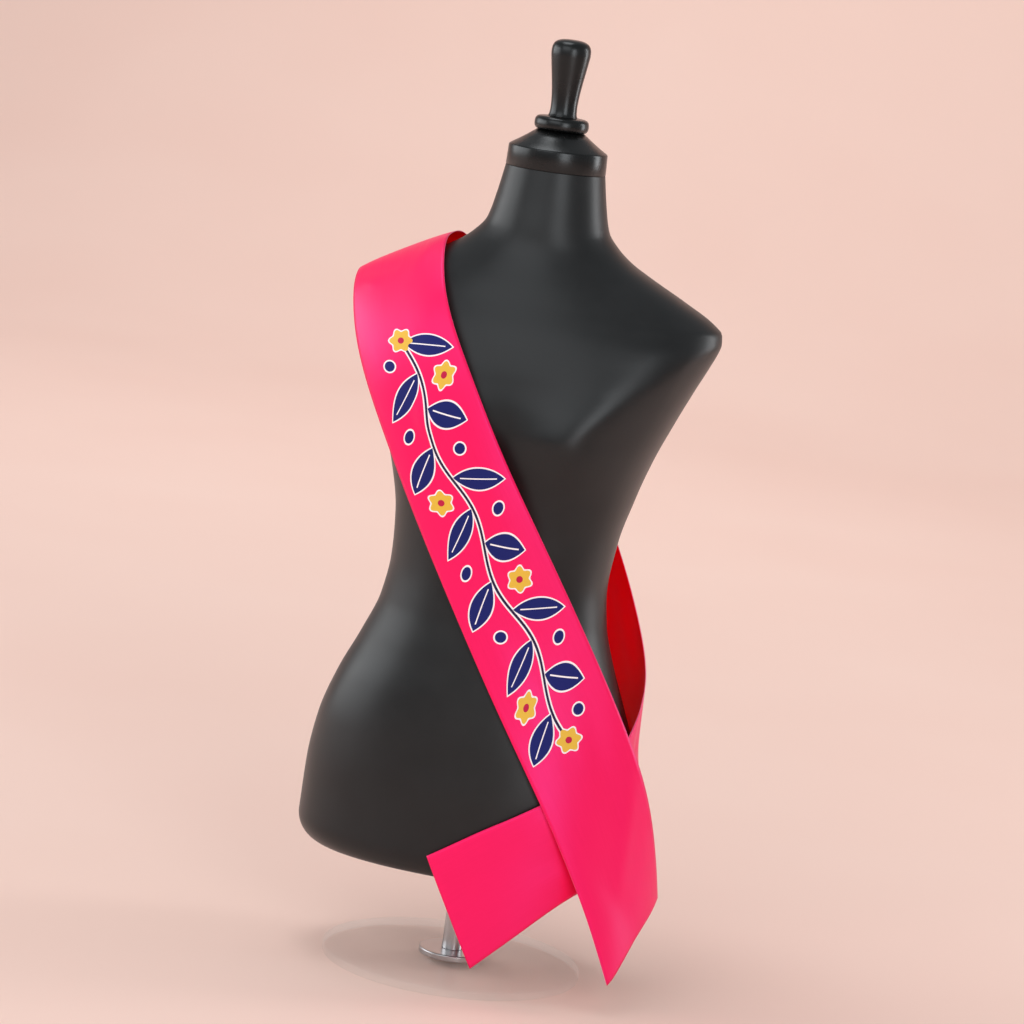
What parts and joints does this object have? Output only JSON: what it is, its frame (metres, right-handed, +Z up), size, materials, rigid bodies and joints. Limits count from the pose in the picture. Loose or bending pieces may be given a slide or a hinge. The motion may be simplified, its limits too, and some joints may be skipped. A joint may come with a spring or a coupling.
{
  "type": "satin sash on dress form",
  "caption": "Wide satin sash worn from the right shoulder to the left hip of a limbless dress form on a round glass stand, its slanting ends crossed and hanging",
  "frame": {"origin": "centre of the underside of the round base plate, on the floor", "axes": "+Z up along the form's neck and stand, -Y out of the form's chest, +X towards the form's left side, where the sash's ends cross"},
  "size_m": [0.3687, 0.25, 0.8941],
  "materials": {
    "sash_satin": "bright pink polyester satin, deep red on the reverse, with a small printed motif",
    "form_shell": "smooth charcoal, half matt",
    "form_gloss": "smooth charcoal, soft gloss",
    "stand_steel": "satin steel",
    "stand_glass": "clear toughened glass with a bevelled edge"
  },
  "bodies": {
    "root": {"sash_front": "sash_satin", "sash_back": "sash_satin", "sash_tail": "sash_satin", "torso": "form_shell", "neck_cap": "form_gloss", "finial_collar": "form_gloss", "finial_handle": "form_gloss", "stand_rod": "stand_steel", "stand_flange": "stand_steel", "base_plate": "stand_glass"}
  },
  "joints": []
}
